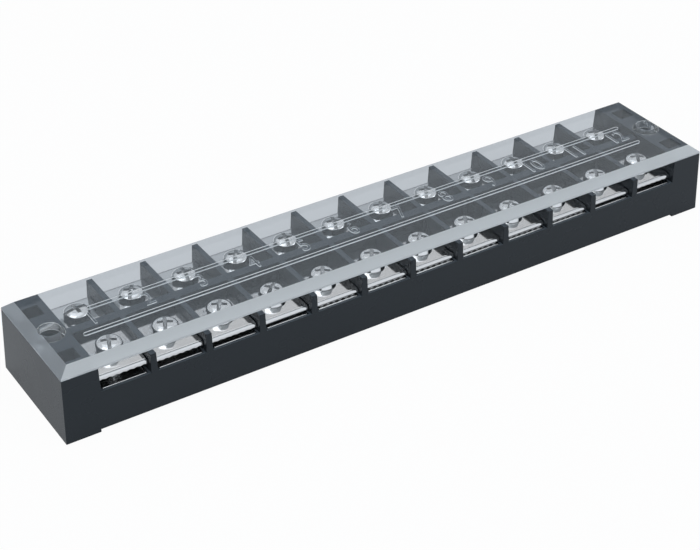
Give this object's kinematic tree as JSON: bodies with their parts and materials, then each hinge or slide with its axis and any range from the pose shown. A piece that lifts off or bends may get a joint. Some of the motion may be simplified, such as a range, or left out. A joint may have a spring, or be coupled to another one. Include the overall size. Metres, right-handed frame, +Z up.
{
  "type": "barrier terminal strip",
  "caption": "Dual-row barrier terminal strip: screw clamps between moulded barriers on a long base, under a clear bevelled cover with a mounting hole at each end.",
  "frame": {"origin": "centre of the bounding box in plan, at the underside of the feet", "axes": "+X along the row from position 1 to position 12, +Y from the front row of screws to the rear row, +Z up out of the cover"},
  "size_m": [0.1258, 0.0228, 0.013],
  "materials": {
    "base_plastic": "satin black moulding",
    "cover_plastic": "clear polished moulding",
    "strip_metal": "tin plated",
    "plate_metal": "bright nickel plated",
    "screw_metal": "bright nickel plated"
  },
  "bodies": {
    "base": {"base_housing": "base_plastic", "contact_strips": "strip_metal"},
    "cover": {"clear_cover": "cover_plastic"},
    "plate_front_1": {"clamp_plate_front_1": "plate_metal"},
    "screw_front_1": {"terminal_screw_front_1": "screw_metal"},
    "plate_front_2": {"clamp_plate_front_2": "plate_metal"},
    "screw_front_2": {"terminal_screw_front_2": "screw_metal"},
    "plate_front_3": {"clamp_plate_front_3": "plate_metal"},
    "screw_front_3": {"terminal_screw_front_3": "screw_metal"},
    "plate_front_4": {"clamp_plate_front_4": "plate_metal"},
    "screw_front_4": {"terminal_screw_front_4": "screw_metal"},
    "plate_front_5": {"clamp_plate_front_5": "plate_metal"},
    "screw_front_5": {"terminal_screw_front_5": "screw_metal"},
    "plate_front_6": {"clamp_plate_front_6": "plate_metal"},
    "screw_front_6": {"terminal_screw_front_6": "screw_metal"},
    "plate_front_7": {"clamp_plate_front_7": "plate_metal"},
    "screw_front_7": {"terminal_screw_front_7": "screw_metal"},
    "plate_front_8": {"clamp_plate_front_8": "plate_metal"},
    "screw_front_8": {"terminal_screw_front_8": "screw_metal"},
    "plate_front_9": {"clamp_plate_front_9": "plate_metal"},
    "screw_front_9": {"terminal_screw_front_9": "screw_metal"},
    "plate_front_10": {"clamp_plate_front_10": "plate_metal"},
    "screw_front_10": {"terminal_screw_front_10": "screw_metal"},
    "plate_front_11": {"clamp_plate_front_11": "plate_metal"},
    "screw_front_11": {"terminal_screw_front_11": "screw_metal"},
    "plate_front_12": {"clamp_plate_front_12": "plate_metal"},
    "screw_front_12": {"terminal_screw_front_12": "screw_metal"},
    "plate_rear_1": {"clamp_plate_rear_1": "plate_metal"},
    "screw_rear_1": {"terminal_screw_rear_1": "screw_metal"},
    "plate_rear_2": {"clamp_plate_rear_2": "plate_metal"},
    "screw_rear_2": {"terminal_screw_rear_2": "screw_metal"},
    "plate_rear_3": {"clamp_plate_rear_3": "plate_metal"},
    "screw_rear_3": {"terminal_screw_rear_3": "screw_metal"},
    "plate_rear_4": {"clamp_plate_rear_4": "plate_metal"},
    "screw_rear_4": {"terminal_screw_rear_4": "screw_metal"},
    "plate_rear_5": {"clamp_plate_rear_5": "plate_metal"},
    "screw_rear_5": {"terminal_screw_rear_5": "screw_metal"},
    "plate_rear_6": {"clamp_plate_rear_6": "plate_metal"},
    "screw_rear_6": {"terminal_screw_rear_6": "screw_metal"},
    "plate_rear_7": {"clamp_plate_rear_7": "plate_metal"},
    "screw_rear_7": {"terminal_screw_rear_7": "screw_metal"},
    "plate_rear_8": {"clamp_plate_rear_8": "plate_metal"},
    "screw_rear_8": {"terminal_screw_rear_8": "screw_metal"},
    "plate_rear_9": {"clamp_plate_rear_9": "plate_metal"},
    "screw_rear_9": {"terminal_screw_rear_9": "screw_metal"},
    "plate_rear_10": {"clamp_plate_rear_10": "plate_metal"},
    "screw_rear_10": {"terminal_screw_rear_10": "screw_metal"},
    "plate_rear_11": {"clamp_plate_rear_11": "plate_metal"},
    "screw_rear_11": {"terminal_screw_rear_11": "screw_metal"},
    "plate_rear_12": {"clamp_plate_rear_12": "plate_metal"},
    "screw_rear_12": {"terminal_screw_rear_12": "screw_metal"}
  },
  "joints": [
    {"name": "cover_lift", "type": "slide", "parent": "base", "child": "cover", "axis": [0, 0, 1], "range_m": [0, 0.02]},
    {"name": "plate_front_1_travel", "type": "slide", "parent": "base", "child": "plate_front_1", "axis": [0, 0, 1], "range_m": [-0.00115, 0.00019]},
    {"name": "screw_front_1_turn", "type": "hinge", "parent": "plate_front_1", "child": "screw_front_1", "pos_m": [-0.05225, -0.0058, 0.00931], "axis": [0, 0, 1], "range_deg": [-832.6, 141.4]},
    {"name": "plate_front_2_travel", "type": "slide", "parent": "base", "child": "plate_front_2", "axis": [0, 0, 1], "range_m": [-0.00083, 0.00052]},
    {"name": "screw_front_2_turn", "type": "hinge", "parent": "plate_front_2", "child": "screw_front_2", "pos_m": [-0.04275, -0.0058, 0.00898], "axis": [0, 0, 1], "range_deg": [-598.6, 375.4]},
    {"name": "plate_front_3_travel", "type": "slide", "parent": "base", "child": "plate_front_3", "axis": [0, 0, 1], "range_m": [-0.00057, 0.00078]},
    {"name": "screw_front_3_turn", "type": "hinge", "parent": "plate_front_3", "child": "screw_front_3", "pos_m": [-0.03325, -0.0058, 0.00872], "axis": [0, 0, 1], "range_deg": [-411.4, 562.6]},
    {"name": "plate_front_4_travel", "type": "slide", "parent": "base", "child": "plate_front_4", "axis": [0, 0, 1], "range_m": [-0.00024, 0.00111]},
    {"name": "screw_front_4_turn", "type": "hinge", "parent": "plate_front_4", "child": "screw_front_4", "pos_m": [-0.02375, -0.0058, 0.00839], "axis": [0, 0, 1], "range_deg": [-177.4, 796.6]},
    {"name": "plate_front_5_travel", "type": "slide", "parent": "base", "child": "plate_front_5", "axis": [0, 0, 1], "range_m": [-0.00005, 0.0013]},
    {"name": "screw_front_5_turn", "type": "hinge", "parent": "plate_front_5", "child": "screw_front_5", "pos_m": [-0.01425, -0.0058, 0.0082], "axis": [0, 0, 1], "range_deg": [-37, 937]},
    {"name": "plate_front_6_travel", "type": "slide", "parent": "base", "child": "plate_front_6", "axis": [0, 0, 1], "range_m": [-0.00005, 0.0013]},
    {"name": "screw_front_6_turn", "type": "hinge", "parent": "plate_front_6", "child": "screw_front_6", "pos_m": [-0.00475, -0.0058, 0.0082], "axis": [0, 0, 1], "range_deg": [-37, 937]},
    {"name": "plate_front_7_travel", "type": "slide", "parent": "base", "child": "plate_front_7", "axis": [0, 0, 1], "range_m": [-0.00005, 0.0013]},
    {"name": "screw_front_7_turn", "type": "hinge", "parent": "plate_front_7", "child": "screw_front_7", "pos_m": [0.00475, -0.0058, 0.0082], "axis": [0, 0, 1], "range_deg": [-37, 937]},
    {"name": "plate_front_8_travel", "type": "slide", "parent": "base", "child": "plate_front_8", "axis": [0, 0, 1], "range_m": [-0.00005, 0.0013]},
    {"name": "screw_front_8_turn", "type": "hinge", "parent": "plate_front_8", "child": "screw_front_8", "pos_m": [0.01425, -0.0058, 0.0082], "axis": [0, 0, 1], "range_deg": [-37, 937]},
    {"name": "plate_front_9_travel", "type": "slide", "parent": "base", "child": "plate_front_9", "axis": [0, 0, 1], "range_m": [-0.00005, 0.0013]},
    {"name": "screw_front_9_turn", "type": "hinge", "parent": "plate_front_9", "child": "screw_front_9", "pos_m": [0.02375, -0.0058, 0.0082], "axis": [0, 0, 1], "range_deg": [-37, 937]},
    {"name": "plate_front_10_travel", "type": "slide", "parent": "base", "child": "plate_front_10", "axis": [0, 0, 1], "range_m": [-0.00005, 0.0013]},
    {"name": "screw_front_10_turn", "type": "hinge", "parent": "plate_front_10", "child": "screw_front_10", "pos_m": [0.03325, -0.0058, 0.0082], "axis": [0, 0, 1], "range_deg": [-37, 937]},
    {"name": "plate_front_11_travel", "type": "slide", "parent": "base", "child": "plate_front_11", "axis": [0, 0, 1], "range_m": [-0.00024, 0.00111]},
    {"name": "screw_front_11_turn", "type": "hinge", "parent": "plate_front_11", "child": "screw_front_11", "pos_m": [0.04275, -0.0058, 0.00839], "axis": [0, 0, 1], "range_deg": [-177.4, 796.6]},
    {"name": "plate_front_12_travel", "type": "slide", "parent": "base", "child": "plate_front_12", "axis": [0, 0, 1], "range_m": [-0.00057, 0.00078]},
    {"name": "screw_front_12_turn", "type": "hinge", "parent": "plate_front_12", "child": "screw_front_12", "pos_m": [0.05225, -0.0058, 0.00872], "axis": [0, 0, 1], "range_deg": [-411.4, 562.6]},
    {"name": "plate_rear_1_travel", "type": "slide", "parent": "base", "child": "plate_rear_1", "axis": [0, 0, 1], "range_m": [-0.00005, 0.0013]},
    {"name": "screw_rear_1_turn", "type": "hinge", "parent": "plate_rear_1", "child": "screw_rear_1", "pos_m": [-0.05225, 0.0058, 0.0082], "axis": [0, 0, 1], "range_deg": [-37, 937]},
    {"name": "plate_rear_2_travel", "type": "slide", "parent": "base", "child": "plate_rear_2", "axis": [0, 0, 1], "range_m": [-0.00005, 0.0013]},
    {"name": "screw_rear_2_turn", "type": "hinge", "parent": "plate_rear_2", "child": "screw_rear_2", "pos_m": [-0.04275, 0.0058, 0.0082], "axis": [0, 0, 1], "range_deg": [-37, 937]},
    {"name": "plate_rear_3_travel", "type": "slide", "parent": "base", "child": "plate_rear_3", "axis": [0, 0, 1], "range_m": [-0.00005, 0.0013]},
    {"name": "screw_rear_3_turn", "type": "hinge", "parent": "plate_rear_3", "child": "screw_rear_3", "pos_m": [-0.03325, 0.0058, 0.0082], "axis": [0, 0, 1], "range_deg": [-37, 937]},
    {"name": "plate_rear_4_travel", "type": "slide", "parent": "base", "child": "plate_rear_4", "axis": [0, 0, 1], "range_m": [-0.00005, 0.0013]},
    {"name": "screw_rear_4_turn", "type": "hinge", "parent": "plate_rear_4", "child": "screw_rear_4", "pos_m": [-0.02375, 0.0058, 0.0082], "axis": [0, 0, 1], "range_deg": [-37, 937]},
    {"name": "plate_rear_5_travel", "type": "slide", "parent": "base", "child": "plate_rear_5", "axis": [0, 0, 1], "range_m": [-0.00005, 0.0013]},
    {"name": "screw_rear_5_turn", "type": "hinge", "parent": "plate_rear_5", "child": "screw_rear_5", "pos_m": [-0.01425, 0.0058, 0.0082], "axis": [0, 0, 1], "range_deg": [-37, 937]},
    {"name": "plate_rear_6_travel", "type": "slide", "parent": "base", "child": "plate_rear_6", "axis": [0, 0, 1], "range_m": [-0.00005, 0.0013]},
    {"name": "screw_rear_6_turn", "type": "hinge", "parent": "plate_rear_6", "child": "screw_rear_6", "pos_m": [-0.00475, 0.0058, 0.0082], "axis": [0, 0, 1], "range_deg": [-37, 937]},
    {"name": "plate_rear_7_travel", "type": "slide", "parent": "base", "child": "plate_rear_7", "axis": [0, 0, 1], "range_m": [-0.00005, 0.0013]},
    {"name": "screw_rear_7_turn", "type": "hinge", "parent": "plate_rear_7", "child": "screw_rear_7", "pos_m": [0.00475, 0.0058, 0.0082], "axis": [0, 0, 1], "range_deg": [-37, 937]},
    {"name": "plate_rear_8_travel", "type": "slide", "parent": "base", "child": "plate_rear_8", "axis": [0, 0, 1], "range_m": [-0.00005, 0.0013]},
    {"name": "screw_rear_8_turn", "type": "hinge", "parent": "plate_rear_8", "child": "screw_rear_8", "pos_m": [0.01425, 0.0058, 0.0082], "axis": [0, 0, 1], "range_deg": [-37, 937]},
    {"name": "plate_rear_9_travel", "type": "slide", "parent": "base", "child": "plate_rear_9", "axis": [0, 0, 1], "range_m": [-0.00005, 0.0013]},
    {"name": "screw_rear_9_turn", "type": "hinge", "parent": "plate_rear_9", "child": "screw_rear_9", "pos_m": [0.02375, 0.0058, 0.0082], "axis": [0, 0, 1], "range_deg": [-37, 937]},
    {"name": "plate_rear_10_travel", "type": "slide", "parent": "base", "child": "plate_rear_10", "axis": [0, 0, 1], "range_m": [-0.00005, 0.0013]},
    {"name": "screw_rear_10_turn", "type": "hinge", "parent": "plate_rear_10", "child": "screw_rear_10", "pos_m": [0.03325, 0.0058, 0.0082], "axis": [0, 0, 1], "range_deg": [-37, 937]},
    {"name": "plate_rear_11_travel", "type": "slide", "parent": "base", "child": "plate_rear_11", "axis": [0, 0, 1], "range_m": [-0.00005, 0.0013]},
    {"name": "screw_rear_11_turn", "type": "hinge", "parent": "plate_rear_11", "child": "screw_rear_11", "pos_m": [0.04275, 0.0058, 0.0082], "axis": [0, 0, 1], "range_deg": [-37, 937]},
    {"name": "plate_rear_12_travel", "type": "slide", "parent": "base", "child": "plate_rear_12", "axis": [0, 0, 1], "range_m": [-0.00005, 0.0013]},
    {"name": "screw_rear_12_turn", "type": "hinge", "parent": "plate_rear_12", "child": "screw_rear_12", "pos_m": [0.05225, 0.0058, 0.0082], "axis": [0, 0, 1], "range_deg": [-37, 937]}
  ],
  "couplings": [
    {"joint": "screw_front_1_turn", "follows": "plate_front_1_travel", "rad_per_m": 12566},
    {"joint": "screw_front_2_turn", "follows": "plate_front_2_travel", "rad_per_m": 12566},
    {"joint": "screw_front_3_turn", "follows": "plate_front_3_travel", "rad_per_m": 12566},
    {"joint": "screw_front_4_turn", "follows": "plate_front_4_travel", "rad_per_m": 12566},
    {"joint": "screw_front_5_turn", "follows": "plate_front_5_travel", "rad_per_m": 12566},
    {"joint": "screw_front_6_turn", "follows": "plate_front_6_travel", "rad_per_m": 12566},
    {"joint": "screw_front_7_turn", "follows": "plate_front_7_travel", "rad_per_m": 12566},
    {"joint": "screw_front_8_turn", "follows": "plate_front_8_travel", "rad_per_m": 12566},
    {"joint": "screw_front_9_turn", "follows": "plate_front_9_travel", "rad_per_m": 12566},
    {"joint": "screw_front_10_turn", "follows": "plate_front_10_travel", "rad_per_m": 12566},
    {"joint": "screw_front_11_turn", "follows": "plate_front_11_travel", "rad_per_m": 12566},
    {"joint": "screw_front_12_turn", "follows": "plate_front_12_travel", "rad_per_m": 12566},
    {"joint": "screw_rear_1_turn", "follows": "plate_rear_1_travel", "rad_per_m": 12566},
    {"joint": "screw_rear_2_turn", "follows": "plate_rear_2_travel", "rad_per_m": 12566},
    {"joint": "screw_rear_3_turn", "follows": "plate_rear_3_travel", "rad_per_m": 12566},
    {"joint": "screw_rear_4_turn", "follows": "plate_rear_4_travel", "rad_per_m": 12566},
    {"joint": "screw_rear_5_turn", "follows": "plate_rear_5_travel", "rad_per_m": 12566},
    {"joint": "screw_rear_6_turn", "follows": "plate_rear_6_travel", "rad_per_m": 12566},
    {"joint": "screw_rear_7_turn", "follows": "plate_rear_7_travel", "rad_per_m": 12566},
    {"joint": "screw_rear_8_turn", "follows": "plate_rear_8_travel", "rad_per_m": 12566},
    {"joint": "screw_rear_9_turn", "follows": "plate_rear_9_travel", "rad_per_m": 12566},
    {"joint": "screw_rear_10_turn", "follows": "plate_rear_10_travel", "rad_per_m": 12566},
    {"joint": "screw_rear_11_turn", "follows": "plate_rear_11_travel", "rad_per_m": 12566},
    {"joint": "screw_rear_12_turn", "follows": "plate_rear_12_travel", "rad_per_m": 12566}
  ]
}
